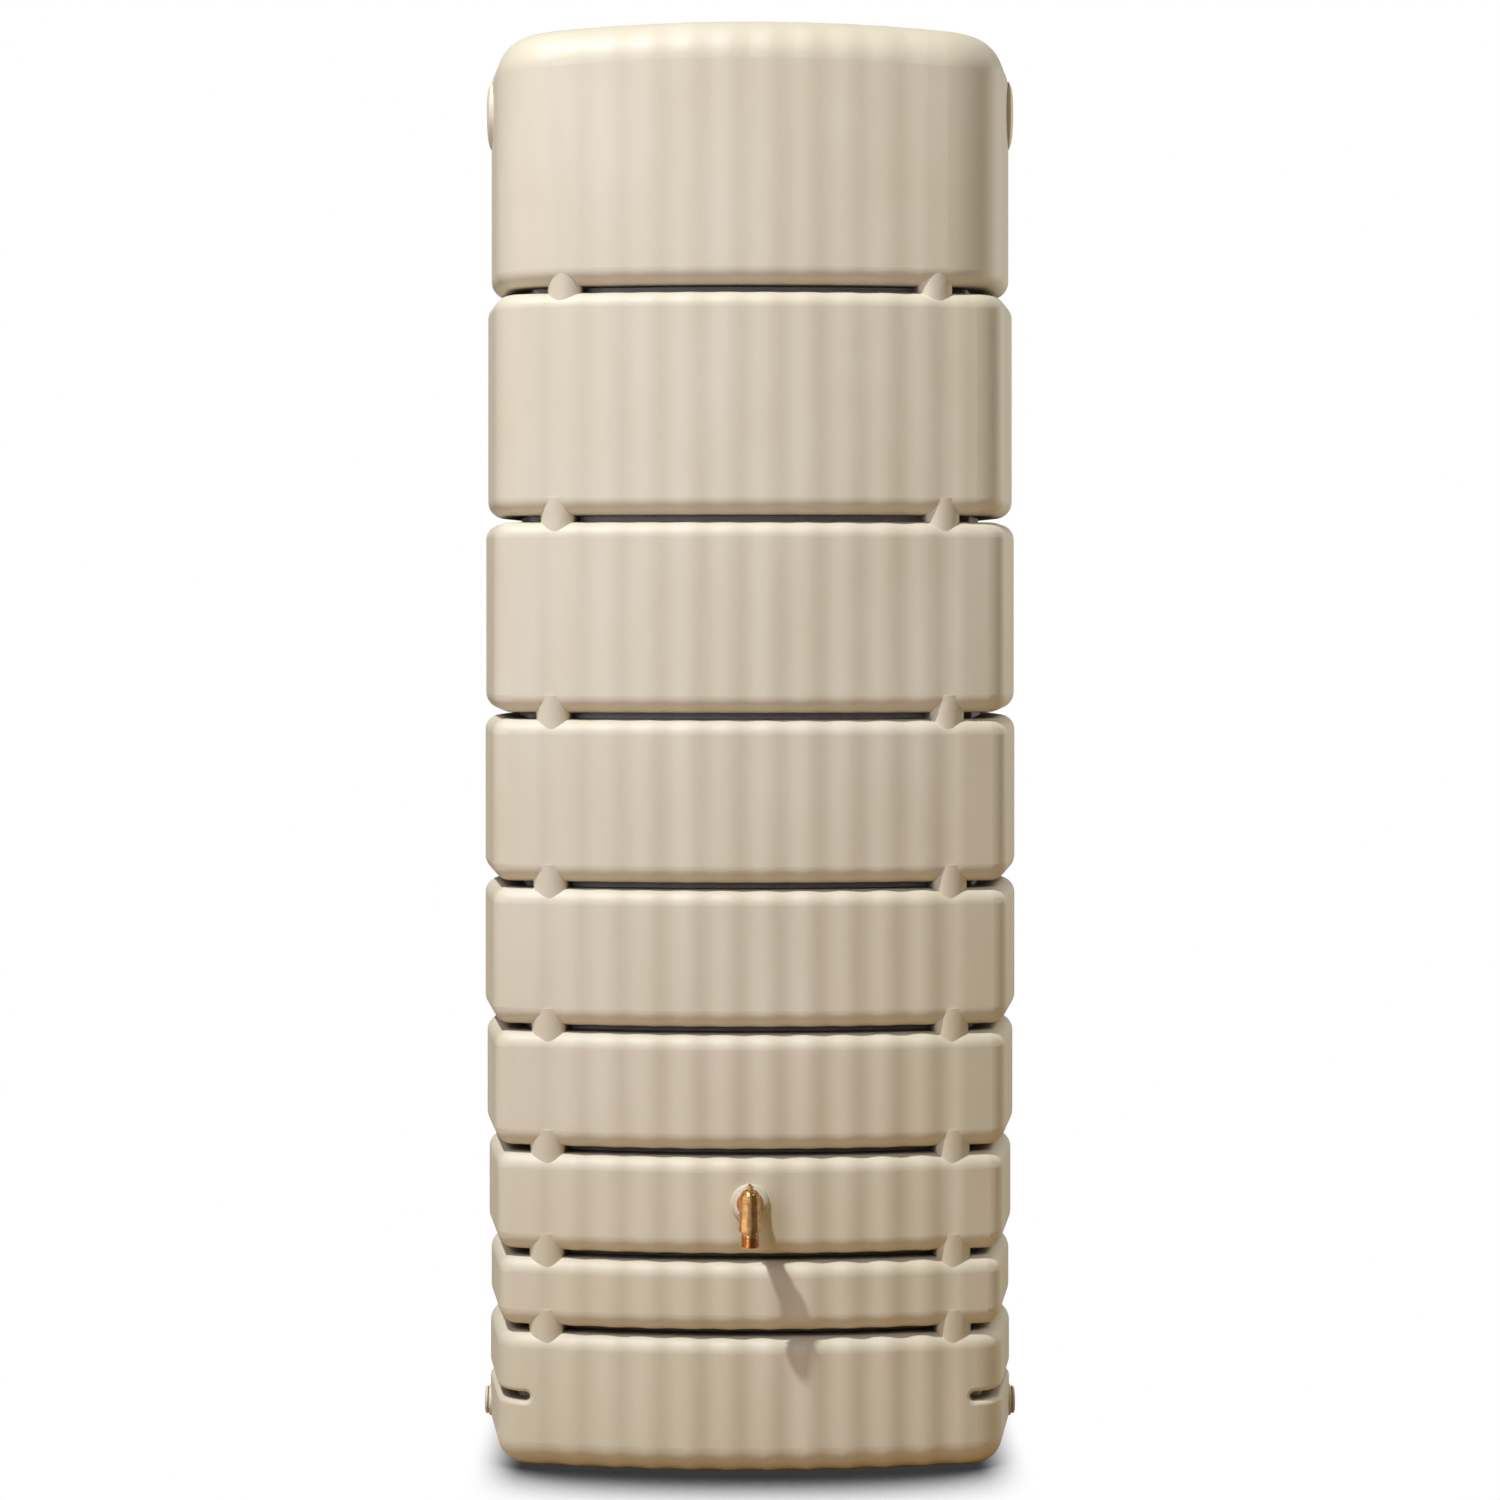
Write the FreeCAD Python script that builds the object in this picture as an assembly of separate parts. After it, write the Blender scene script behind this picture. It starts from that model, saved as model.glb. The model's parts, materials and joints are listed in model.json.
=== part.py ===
import FreeCAD, Part
import math
import os

V = FreeCAD.Vector

# All sizes are in millimetres.
# The front looks along -Y, +X is the viewer's right, and the tank stands on z = 0.

# Shell, overall
tank_depth = 480.0
wall = 5.0
# heights and widths of the bands from the foot to the top, parted by the slots
band_heights = (195.0, 99.0, 139.5, 164.5, 195.5, 232.5, 272.5, 318.0, 380.5)
band_widths = (770.0, 768.0, 774.0, 780.0, 786.0, 786.0, 784.0, 778.0, 768.0)
slot_gap = 9.0
slot_depth = 50.0

# Shell, plan of one band
front_radius = 1300.0
side_draft_deg = 8.5
parting_radius = 120.0
top_corner_radius = 112.0
low_corner_radius = 27.0
corner_shrink = 0.38
back_corner_radius = 46.0
least_corner_radius = 8.0

# Shell, rounded edges
upper_lip_radius = 22.0
lower_lip_radius = 25.0
foot_corner_radius = 52.0
foot_radius = 40.0
top_edge_radius = 60.0
crown_radius = 4700.0

# Flutes down the front
flute_pitch = 56.5
top_flute_depth = 1.5
foot_flute_depth = 4.2
least_flat_beside_flutes = 4.0

# Knuckle posts that bridge the slots at the front and the back
knuckle_half_width = 25.0
knuckle_nose_length = 20.0
knuckle_setback = 2.8
# outward run of the nose for each millimetre of height
knuckle_lean = 0.08
# stock that the nose has beyond the wall
post_cover = 1.0
low_knuckle_x = 297.5
top_knuckle_x = 269.0
knuckle_shrink = 0.63

# Slots that only go round the sides and corners of the lowest band
corner_slot_height = 104.0
corner_slot_gap = 13.0
corner_slot_depth = 30.0
corner_slot_start_x = 314.0
corner_slot_edge_radius = 7.0

# Round pads high on both sides
pad_radius = 51.0
pad_rise = 4.8
pad_rim_width = 17.0
pad_height = 1960.0

# Filler neck in a recess of the top
recess_radius = 112.0
recess_depth = 26.0
recess_rim_radius = 6.0
neck_radius = 80.0
neck_bore_radius = 74.0
neck_height = 22.0

# Screw lid of the neck
lid_radius = 93.0
lid_plate = 4.0
lid_gap = 0.4
lid_skirt_length = 17.0
lid_edge_radius = 2.0
lid_grip_count = 24
lid_grip_radius = 5.0
lid_grip_depth = 2.0
lid_gasket_thickness = 3.0
lid_gasket_margin = 0.8

# Threaded ports, all for a 3/4 inch pipe thread
port_height = 52.0
tap_height = 388.0
thread_radius = 13.2
thread_clearance = 0.05
insert_radius = 17.0
insert_collar_radius = 19.5
insert_collar_length = 5.0
insert_collar_inset = 5.0
insert_length = 16.0
insert_cover = 4.0
port_bore_radius = 12.0
side_boss_radius = 23.0
side_boss_rise = 2.5
front_boss_radius = 27.0
front_boss_rise = 5.0
front_boss_edge_radius = 4.0

# Side plugs
plug_head_radius = 20.0
plug_head_thickness = 4.0
plug_head_edge_radius = 3.2
plug_shank_length = 12.0
plug_socket_width = 14.0
plug_socket_depth = 7.0
plug_seal_thickness = 1.5
plug_seal_radius = 18.5
seal_bore_gap = 0.3

# Tap: heights are measured from the axis of its inlet, and lengths of the inlet from the axis of its barrel
tap_reach = 62.0
barrel_top = 18.0
barrel_bottom = -28.0
barrel_top_radius = 14.4
barrel_bottom_radius = 15.8
barrel_edge = 0.8

# Tap, inlet
wall_seal_radius = 22.0
wall_seal_thickness = 2.5
flange_radius = 19.0
flange_thickness = 5.0
flange_edge = 0.8
spigot_length = 14.0
spigot_bore_radius = 8.0
stub_radius = 12.0
spanner_width = 27.0
spanner_length = 9.0
waterway_radius = 7.0

# Tap, ball and its seats
cavity_radius = 11.5
ball_radius = 10.0
ball_bore_radius = 5.5
ball_gap = 0.3
inlet_seat_radius = 7.4
inlet_seat_start = 7.4
inlet_seat_end = 13.5
seat_play = 0.1
outlet_seat_top = -7.7
outlet_seat_bottom = -14.5
outlet_seat_bore_radius = 6.0

# Tap, stem with its washer and packing
stem_radius = 4.0
stem_play = 0.05
stem_flange_radius = 6.0
stem_flange_thickness = 1.5
stem_washer_thickness = 1.0
tang_width = 3.0
tang_length = 9.0
tang_depth = 2.6
tang_play = 0.1
stem_square = 4.6
gland_neck_radius = 8.0
gland_neck_height = 4.0
packing_radius = 6.2
packing_bottom = 15.0
packing_height = 3.5

# Tap, dome nut over the packing
dome_rim_radius = 14.3
dome_rim_height = 1.0
dome_radius = 13.2
dome_height = 12.0
dome_flat_radius = 5.0
dome_shoulder = 1.6
dome_inner_gap = 0.3

# Tap, outlet
spout_shoulder_radius = 13.0
spout_shoulder_height = 1.2
spout_neck_radius = 12.2
spout_neck_height = 5.0
spout_seal_thickness = 1.0
spout_bottom = -50.5
spout_bore_radius = 8.0
spout_edge = 0.8

# Tap, wing handle
wing_thickness = 4.0
wing_reach = 26.5
wing_bottom = 19.0
wing_top = 38.0
wing_web = 4.0
wing_tip_width = 7.0
wing_edge_radius = 1.2
hub_radius = 4.8
hub_bottom = 30.8
hub_top = 35.0
hub_roof = 1.2
screw_head_radius = 2.8
screw_head_height = 2.0
screw_head_gap = 0.4
screw_radius = 1.5
screw_play = 0.05
screw_length = 9.0
screw_slot_width = 0.9
screw_slot_depth = 1.0

# Overlap with which pieces of the shell run into each other before they merge
merge = 8.0

# Places that follow from the sizes
front_y = (tap_reach + wing_reach - tank_depth) / 2
back_y = front_y + tank_depth
mid_y = front_y + tank_depth / 2
shell_height = sum(band_heights) + slot_gap * (len(band_heights) - 1)
tank_width = max(band_widths)
side_draft = math.radians(side_draft_deg)
flute_step = flute_pitch / 2 / front_radius
recess_floor = shell_height - recess_depth
neck_top = recess_floor + neck_height
gasket_top = neck_top + lid_gasket_thickness
port_depth = insert_length + insert_cover
boss_face = tap_reach - front_boss_rise
flange_end = boss_face - wall_seal_thickness
flange_start = flange_end - flange_thickness
spigot_end = flange_end + spigot_length
stem_foot = ball_radius + ball_gap
stem_washer_foot = stem_foot + stem_flange_thickness
cavity_top = stem_washer_foot + stem_washer_thickness
gland_neck_top = barrel_top + gland_neck_height
square_top = hub_top - hub_roof
spout_thread_top = barrel_bottom - spout_shoulder_height - spout_neck_height


# Helpers


def around(centre, radius, angle):
    """Point at an angle from the direction -Y, counted towards +X."""
    return centre + V(radius * math.sin(angle), -radius * math.cos(angle), 0)


def mirrored(point):
    return V(-point.x, point.y, point.z)


def edge(points):
    """A straight edge through two points or an arc through three."""
    if len(points) == 3:
        return Part.Arc(*points).toShape()
    return Part.LineSegment(*points).toShape()


def facing(point, direction):
    """Placement that takes the Z axis of a turned solid to a point and a direction."""
    return FreeCAD.Placement(point, FreeCAD.Rotation(V(0, 0, 1), direction))


centre_line = facing(V(0, mid_y, 0), V(0, 0, 1))
barrel_axis = facing(V(0, front_y - tap_reach, tap_height), V(0, 0, 1))
inlet_axis = facing(V(0, front_y - tap_reach, tap_height), V(0, 1, 0))


def turned(profile, place):
    """Solid of revolution from (radius, height) points; two more numbers make the stretch an arc."""
    points = [V(stop[0], 0, stop[1]) for stop in profile]
    edges = []
    for index, stop in enumerate(profile):
        stretch = [points[index - 1], points[index]]
        if len(stop) == 4:
            stretch.insert(1, V(stop[2], 0, stop[3]))
        edges.append(edge(stretch))
    solid = Part.Face(Part.Wire(edges)).revolve(V(0, 0, 0), V(0, 0, 1), 360)
    solid.Placement = place
    return solid


def ring(outer, inner, low, high, place):
    return turned([(inner, low), (outer, low), (outer, high), (inner, high)], place)


def disc(radius, low, high, place):
    return turned([(0, low), (radius, low), (radius, high), (0, high)], place)


def level_edges(solid, low, high):
    """Edges that lie wholly between two heights."""
    margin = 0.01
    found = []
    for item in solid.Edges:
        box = item.BoundBox
        if box.ZMin > low - margin and box.ZMax < high + margin:
            found.append(item)
    return found


def upright_box(x_low, x_high, y_low, y_high, z_low, z_high):
    size = V(x_high - x_low, y_high - y_low, z_high - z_low)
    return Part.makeBox(size.x, size.y, size.z, V(x_low, y_low, z_low))


# Bands of the shell


def band_span(index):
    """Foot and top of one band, counted from the lowest."""
    low = sum(band_heights[:index]) + slot_gap * index
    return low, low + band_heights[index]


def band_corner(index):
    bands_above = len(band_heights) - 1 - index
    return low_corner_radius + (top_corner_radius - low_corner_radius) * corner_shrink ** bands_above


def band_flute_depth(index):
    low, high = band_span(index)
    share = (low + high) / 2 / shell_height
    return foot_flute_depth + (top_flute_depth - foot_flute_depth) * share


def front_centre(depth):
    """Centre of the arc that the flutes of a band swing about."""
    return V(0, front_y + depth / 2 + front_radius, 0)


def flute_arcs(depth, corner_angle):
    """Right half of the fluted front: alternating tangent arcs, then a flat as high as the ridges."""
    centre = front_centre(depth)
    half_chord = front_radius * math.sin(flute_step / 2)
    chord_distance = front_radius * math.cos(flute_step / 2)
    turn = 2 * math.atan(depth / 2 / half_chord)
    ridge_turn = turn + flute_step / 2
    ridge_radius = half_chord / math.sin(ridge_turn)
    ridge = chord_distance + half_chord * math.tan(ridge_turn / 2)
    valley = chord_distance - half_chord * math.tan((turn - flute_step / 2) / 2)
    usable = corner_angle - least_flat_beside_flutes / front_radius
    last = 2 * int((usable / flute_step + 1) / 2) - 1
    joins = [around(centre, front_radius, (number + 0.5) * flute_step) for number in range(last)]
    arcs = [[mirrored(joins[0]), around(centre, valley, 0), joins[0]]]
    for number in range(1, last):
        middle = around(centre, ridge if number % 2 else valley, number * flute_step)
        arcs.append([joins[number - 1], middle, joins[number]])
    tip = around(centre, ridge, last * flute_step)
    ridge_centre = around(centre, ridge - ridge_radius, last * flute_step)
    arcs.append([joins[-1], around(ridge_centre, ridge_radius, last * flute_step - ridge_turn / 2), tip])
    arcs.append([tip, around(centre, ridge, (last * flute_step + corner_angle) / 2),
                 around(centre, ridge, corner_angle)])
    return arcs


def ridge_distance(depth):
    """Distance of the ridge tops from the front's centre."""
    half_chord = front_radius * math.sin(flute_step / 2)
    turn = 2 * math.atan(depth / 2 / half_chord)
    chord_distance = front_radius * math.cos(flute_step / 2)
    return chord_distance + half_chord * math.tan((turn + flute_step / 2) / 2)


def plan(width, corner, inset, depth, fluted):
    """Closed outline of a band seen from above, or of a smooth one that lies inside it by an inset."""
    centre = front_centre(depth)
    front = ridge_distance(depth) if fluted else front_radius - depth / 2 - inset
    parting_centre = V(width / 2 - parting_radius, mid_y, 0)
    parting = parting_radius - inset
    outward = V(math.cos(side_draft), -math.sin(side_draft), 0)
    forward = V(-math.sin(side_draft), -math.cos(side_draft), 0)
    side_start = parting_centre + outward * parting

    corner = max(corner - inset, least_corner_radius)
    track = side_start - outward * corner - centre
    along = track.dot(forward)
    run = math.sqrt(along ** 2 - track.dot(track) + (front - corner) ** 2) - along
    corner_centre = centre + track + forward * run
    corner_angle = math.atan2(corner_centre.x, centre.y - corner_centre.y)
    side_angle = math.pi / 2 - side_draft
    corner_start = around(centre, front, corner_angle)
    side_front = side_start + forward * run

    if fluted:
        right = flute_arcs(depth, corner_angle)
    else:
        right = [[mirrored(corner_start), around(centre, front, 0), corner_start]]
    right.append([corner_start, around(corner_centre, corner, (corner_angle + side_angle) / 2), side_front])
    right.append([side_front, side_start])

    outward_back = V(outward.x, -outward.y, 0)
    side_end = parting_centre + outward_back * parting
    right.append([side_start, parting_centre + V(parting, 0, 0), side_end])
    rear = max(back_corner_radius - inset, least_corner_radius)
    rear_run = (back_y - inset - rear - side_end.y + rear * outward_back.y) / math.cos(side_draft)
    side_back = side_end + V(forward.x, -forward.y, 0) * rear_run
    rear_centre = side_back - outward_back * rear
    rear_angle = (math.pi - side_angle + math.pi) / 2
    back_start = V(rear_centre.x, back_y - inset, 0)
    right.append([side_end, side_back])
    right.append([side_back, around(rear_centre, rear, rear_angle), back_start])

    left = [[mirrored(point) for point in reversed(points)] for points in reversed(right[1:])]
    outline = right + [[back_start, mirrored(back_start)]] + left
    return Part.Wire([edge(points) for points in outline])


def slab(outline, low, high):
    face = Part.Face(outline)
    face.translate(V(0, 0, low))
    return face.extrude(V(0, 0, high - low))


def rounded_slab(outline, low, high, low_radius, high_radius):
    solid = slab(outline, low, high)
    solid = solid.makeFillet(high_radius, level_edges(solid, high, high))
    return solid.makeFillet(low_radius, level_edges(solid, low, low))


def crowned_slab(outline, low, high, low_radius, high_radius, radius):
    """A slab whose top is a gentle barrel vault across the width."""
    solid = slab(outline, low, high)
    vault_length = 2 * tank_depth
    vault = Part.makeCylinder(radius, vault_length, V(0, mid_y - tank_depth, high - radius), V(0, 1, 0))
    solid = solid.common(vault)
    vault_drop = radius - math.sqrt(radius ** 2 - (tank_width / 2) ** 2)
    solid = solid.makeFillet(high_radius, level_edges(solid, high - vault_drop, high))
    return solid.makeFillet(low_radius, level_edges(solid, low, low))


def with_filler_neck(top_band):
    """The highest band with a round recess in its top and the filler neck standing in it."""
    recess = disc(recess_radius, recess_floor, shell_height + merge, centre_line)
    recessed = top_band.cut(recess)
    rim = []
    for item in level_edges(recessed, recess_floor + merge, shell_height):
        off_centre = item.Vertexes[0].Point - V(0, mid_y, item.Vertexes[0].Point.z)
        if abs(off_centre.Length - recess_radius) < 0.01:
            rim.append(item)
    recessed = recessed.makeFillet(recess_rim_radius, rim)
    return recessed.fuse(disc(neck_radius, recess_floor - wall, neck_top, centre_line))


def band(index, inset):
    """One band, or with an inset of one wall the hollow inside it."""
    low, high = band_span(index)
    fluted = inset == 0
    outline = plan(band_widths[index], band_corner(index), inset, band_flute_depth(index), fluted)
    low_radius = lower_lip_radius - inset
    if index == len(band_heights) - 1:
        crowned = crowned_slab(outline, low + inset, high - inset, low_radius,
                               top_edge_radius - inset, crown_radius - inset)
        return with_filler_neck(crowned) if fluted else crowned
    return rounded_slab(outline, low + inset, high - inset, low_radius, upper_lip_radius - inset)


def corner_slot(side, inset):
    """What the corner slot takes away on one side, grown by an inset; its ends are half round."""
    reach = corner_slot_gap / 2 + inset
    low = corner_slot_height - reach
    end_x = corner_slot_start_x + corner_slot_gap / 2
    straight = upright_box(end_x, tank_width, front_y - merge, back_y + merge, low, low + 2 * reach)
    end_foot = V(end_x, front_y - merge, corner_slot_height)
    end = Part.makeCylinder(reach, tank_depth + 2 * merge, end_foot, V(0, 1, 0))
    floor = slab(plan(band_widths[0], foot_corner_radius, corner_slot_depth + inset, 0, False),
                 low - merge, low + 2 * reach + merge)
    cutter = straight.fuse(end).cut(floor)
    return cutter if side > 0 else cutter.mirror(V(0, 0, 0), V(1, 0, 0))


def foot_band(inset):
    """The lowest band, with the corner slots cut in from both sides and the rims of the slots rounded."""
    low, high = band_span(0)
    outline = plan(band_widths[0], foot_corner_radius, inset, band_flute_depth(0), inset == 0)
    solid = rounded_slab(outline, low + inset, high - inset, foot_radius - inset, upper_lip_radius - inset)
    solid = solid.cut([corner_slot(-1, inset), corner_slot(1, inset)])
    if inset:
        return solid
    reach = corner_slot_gap / 2
    behind_rim = slab(plan(band_widths[0], foot_corner_radius, corner_slot_edge_radius, 0, False), low, high)
    rims = []
    for item in solid.Edges:
        box = item.BoundBox
        level = abs(box.Center.z - corner_slot_height) < reach + 0.1 and box.ZLength < corner_slot_gap + 0.1
        middle = item.valueAt((item.FirstParameter + item.LastParameter) / 2)
        if level and not behind_rim.isInside(middle, 0.01, True):
            rims.append(item)
    return solid.makeFillet(corner_slot_edge_radius, rims)


# Slots and the posts in them


def slot_core(outline_width, depth, centre_height, inset):
    """What is left of the shell behind a slot."""
    reach = slot_gap / 2 + inset + merge
    outline = plan(outline_width, low_corner_radius, depth + inset, 0, False)
    return slab(outline, centre_height - reach, centre_height + reach)


def post(nose, outward, inset, centre_height):
    """Post in a slot: parallel flanks and an elliptic nose that leans out towards its top."""
    across = V(-outward.y, outward.x, 0) * (knuckle_half_width - inset)
    centre = nose - outward * knuckle_nose_length
    ellipse = Part.Ellipse(centre + across, centre + outward * (knuckle_nose_length - inset), centre)
    corners = [centre + across, centre - across]
    reach = outward * (slot_depth + inset + merge - knuckle_nose_length)
    outline = Part.Wire([
        Part.ArcOfEllipse(ellipse, 0, math.pi).toShape(),
        edge([corners[1], corners[1] - reach]),
        edge([corners[1] - reach, corners[0] - reach]),
        edge([corners[0] - reach, corners[0]]),
    ])
    below = slot_gap / 2 + upper_lip_radius
    height = below + slot_gap / 2 + lower_lip_radius
    foot = Part.Face(outline)
    foot.translate(V(0, 0, centre_height - below) - outward * (knuckle_lean * below))
    return foot.extrude(V(0, 0, height) + outward * (knuckle_lean * height))


def posts(offset_x, inset, centre_height):
    """The four posts of one slot: two at the front, square to its curve, and two at the back."""
    angle = math.asin(offset_x / front_radius)
    setback = knuckle_setback + (post_cover if inset else 0)
    made = []
    for side in (-1, 1):
        outward = around(V(0, 0, 0), 1, side * angle)
        nose = around(front_centre(0), front_radius - setback, side * angle)
        made.append(post(nose, outward, inset, centre_height))
        nose = V(side * offset_x, back_y - setback, 0)
        made.append(post(nose, V(0, 1, 0), inset, centre_height))
    return made


def knuckle_x(slot):
    """Distance of the posts from the middle, in the slot above the given band."""
    slots_above = len(band_heights) - 2 - slot
    return low_knuckle_x + (top_knuckle_x - low_knuckle_x) * knuckle_shrink ** slots_above


def column(inset):
    """All bands with what joins them; with an inset of one wall, the hollow inside."""
    pieces = [foot_band(inset)]
    for index in range(1, len(band_heights)):
        pieces.append(band(index, inset))
    for slot in range(len(band_heights) - 1):
        centre_height = band_span(slot)[1] + slot_gap / 2
        width = min(band_widths[slot:slot + 2])
        pieces.append(slot_core(width, slot_depth, centre_height, inset))
        pieces += posts(knuckle_x(slot), inset, centre_height)
    return pieces[0].fuse(pieces[1:])


# Ports and pads of the shell


def port_place(side):
    """Where the mouth of a port lies and looks; 0 stands for the front."""
    if side == 0:
        return facing(V(0, front_y - front_boss_rise, tap_height), V(0, -1, 0))
    return facing(V(side * (band_widths[0] / 2 + side_boss_rise), mid_y, port_height), V(side, 0, 0))


def ports(shape, *sizes):
    """One solid of revolution at each of the three ports."""
    return [shape(*sizes, port_place(side)) for side in (-1, 0, 1)]


def pad(side):
    """Round pad on the side, flat in the middle and falling off to its rim."""
    rim_radius = (pad_rim_width ** 2 + pad_rise ** 2) / 2 / pad_rise
    half_turn = math.asin(pad_rim_width / rim_radius) / 2
    flat = pad_radius - pad_rim_width
    via_radius = flat + rim_radius * math.sin(half_turn)
    via_height = pad_rise - rim_radius * (1 - math.cos(half_turn))
    place = facing(V(side * band_widths[-1] / 2, mid_y, pad_height), V(side, 0, 0))
    seam_at_front = FreeCAD.Placement(V(0, 0, 0), FreeCAD.Rotation(V(0, 0, 1), 90))
    return turned([(0, -merge), (pad_radius, -merge), (pad_radius, 0),
                   (flat, pad_rise, via_radius, via_height), (0, pad_rise)], place.multiply(seam_at_front))


def boss(side):
    """Round boss of a port with a rounded edge, its face at the mouth of the port."""
    radius, rim = side_boss_radius, side_boss_rise
    if side == 0:
        radius, rim = front_boss_radius, front_boss_edge_radius
    via = rim * math.sqrt(0.5)
    return turned([(0, -port_depth), (radius, -port_depth), (radius, -rim),
                   (radius - rim, 0, radius - rim + via, via - rim), (0, 0)], port_place(side))


def bush(bore, place):
    """Threaded bush with an anchoring collar, its mouth at the origin of its placement."""
    collar_high = -insert_collar_inset
    collar_low = collar_high - insert_collar_length
    return turned([(bore, -insert_length), (insert_radius, -insert_length), (insert_radius, collar_low),
                   (insert_collar_radius, collar_low), (insert_collar_radius, collar_high),
                   (insert_radius, collar_high), (insert_radius, 0), (bore, 0)], place)


def port_insert(side):
    return bush(thread_radius + thread_clearance, port_place(side))


def shell_outside():
    return column(0).fuse([pad(-1), pad(1), boss(-1), boss(0), boss(1)])


def shell_hollow():
    """The space inside, short of the walls round the recess and of the stock round the ports."""
    under_well = ring(recess_radius + wall, neck_bore_radius, recess_floor - wall, shell_height, centre_line)
    stock = ports(disc, insert_collar_radius + wall, -port_depth, 0)
    return column(wall).cut([under_well] + stock)


def tank_body():
    """The blow-moulded shell: an outer and an inner skin, then the ways through them."""
    skins = [shell_outside().Shells[0], shell_hollow().Shells[0].reversed()]
    walls = Part.makeSolid(Part.makeCompound(skins))
    mouth = disc(neck_bore_radius, recess_floor - wall - merge, neck_top + merge, centre_line)
    bores = ports(disc, port_bore_radius, -port_depth - merge, 0)
    sockets = ports(bush, 0)
    return walls.cut(mouth.fuse(bores + sockets)).Solids[0]


# Lid of the filler neck


def inlet_lid():
    """Cup-shaped screw lid with grip hollows round its rim."""
    top = gasket_top + lid_plate
    foot = neck_top - lid_skirt_length
    bore = neck_radius + lid_gap
    edge_drop = lid_edge_radius * (1 - math.sqrt(0.5))
    lid = turned([(0, gasket_top), (bore, gasket_top), (bore, foot), (lid_radius, foot),
                  (lid_radius, top - lid_edge_radius),
                  (lid_radius - lid_edge_radius, top, lid_radius - edge_drop, top - edge_drop),
                  (0, top)], centre_line)
    grips = []
    for number in range(lid_grip_count):
        angle = 2 * math.pi * number / lid_grip_count
        point = around(V(0, mid_y, foot), lid_radius + lid_grip_radius - lid_grip_depth, angle)
        grips.append(Part.makeCylinder(lid_grip_radius, top - foot, point))
    return lid.cut(grips)


def lid_gasket():
    return ring(neck_radius - lid_gasket_margin, neck_bore_radius + lid_gasket_margin,
                neck_top, gasket_top, centre_line)


# Side plugs


def hexagon(width, low, high, place):
    corner = width / math.sqrt(3)
    points = [around(V(0, 0, low), corner, math.pi / 3 * number) for number in range(7)]
    prism = Part.Face(Part.makePolygon(points)).extrude(V(0, 0, high - low))
    prism.Placement = place
    return prism


def side_plug(side):
    """Screw plug with a flat round head and a hexagon socket."""
    place = port_place(side)
    under = plug_seal_thickness
    top = under + plug_head_thickness
    rim = plug_head_edge_radius
    edge_drop = rim * (1 - math.sqrt(0.5))
    plug = turned([(0, -plug_shank_length), (thread_radius, -plug_shank_length), (thread_radius, under),
                   (plug_head_radius, under), (plug_head_radius, top - rim),
                   (plug_head_radius - rim, top, plug_head_radius - edge_drop, top - edge_drop),
                   (0, top)], place)
    return plug.cut(hexagon(plug_socket_width, top - plug_socket_depth, top, place))


def side_plug_seal(side):
    return ring(plug_seal_radius, thread_radius + seal_bore_gap, 0, plug_seal_thickness, port_place(side))


# Tap: what stands still


def tap_wall_seal():
    return ring(wall_seal_radius, thread_radius + seal_bore_gap, flange_end, boss_face, inlet_axis)


def tap_body():
    """Brass barrel with its inlet, flange and threaded spigot in one piece."""
    barrel = turned([(0, barrel_bottom), (barrel_bottom_radius - barrel_edge, barrel_bottom),
                     (barrel_bottom_radius, barrel_bottom + barrel_edge),
                     (barrel_top_radius, barrel_top - barrel_edge),
                     (barrel_top_radius - barrel_edge, barrel_top), (gland_neck_radius, barrel_top),
                     (gland_neck_radius, gland_neck_top), (0, gland_neck_top)], barrel_axis)
    inlet = turned([(0, 0), (stub_radius, 0), (stub_radius, flange_start),
                    (flange_radius - flange_edge, flange_start), (flange_radius, flange_start + flange_edge),
                    (flange_radius, flange_end), (thread_radius, flange_end), (thread_radius, spigot_end),
                    (0, spigot_end)], inlet_axis)
    spanner_flats = hexagon(spanner_width, flange_start - spanner_length, flange_start, inlet_axis)
    solid = barrel.fuse([inlet, spanner_flats])
    return solid.cut([
        disc(cavity_radius, barrel_bottom, cavity_top, barrel_axis),
        disc(spout_shoulder_radius, barrel_bottom, barrel_bottom + spout_seal_thickness, barrel_axis),
        disc(stem_radius + stem_play, cavity_top, packing_bottom, barrel_axis),
        disc(packing_radius, packing_bottom, gland_neck_top, barrel_axis),
        disc(inlet_seat_radius + seat_play, 0, inlet_seat_end, inlet_axis),
        disc(waterway_radius, inlet_seat_end, spigot_end, inlet_axis),
        disc(spigot_bore_radius, flange_end, spigot_end, inlet_axis),
    ])


def ball_room():
    """The space that the ball turns in."""
    return Part.makeSphere(ball_radius + ball_gap, V(0, front_y - tap_reach, tap_height))


def tap_inlet_seat():
    seat = ring(inlet_seat_radius, ball_bore_radius, inlet_seat_start, inlet_seat_end, inlet_axis)
    return seat.cut(ball_room())


def tap_outlet_seat():
    seat = ring(cavity_radius - seat_play, outlet_seat_bore_radius, outlet_seat_bottom, outlet_seat_top,
                barrel_axis)
    return seat.cut(ball_room())


def tap_outlet_spout():
    """Spout that screws into the barrel from below and carries the hose thread."""
    screw = cavity_radius - thread_clearance
    under_shoulder = barrel_bottom - spout_shoulder_height
    return turned([(spout_bore_radius, outlet_seat_bottom), (screw, outlet_seat_bottom),
                   (screw, barrel_bottom), (spout_shoulder_radius, barrel_bottom),
                   (spout_shoulder_radius, under_shoulder),
                   (thread_radius, spout_thread_top,
                    spout_neck_radius, (under_shoulder + spout_thread_top) / 2),
                   (thread_radius, spout_bottom + spout_edge), (thread_radius - spout_edge, spout_bottom),
                   (spout_bore_radius, spout_bottom)], barrel_axis)


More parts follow.
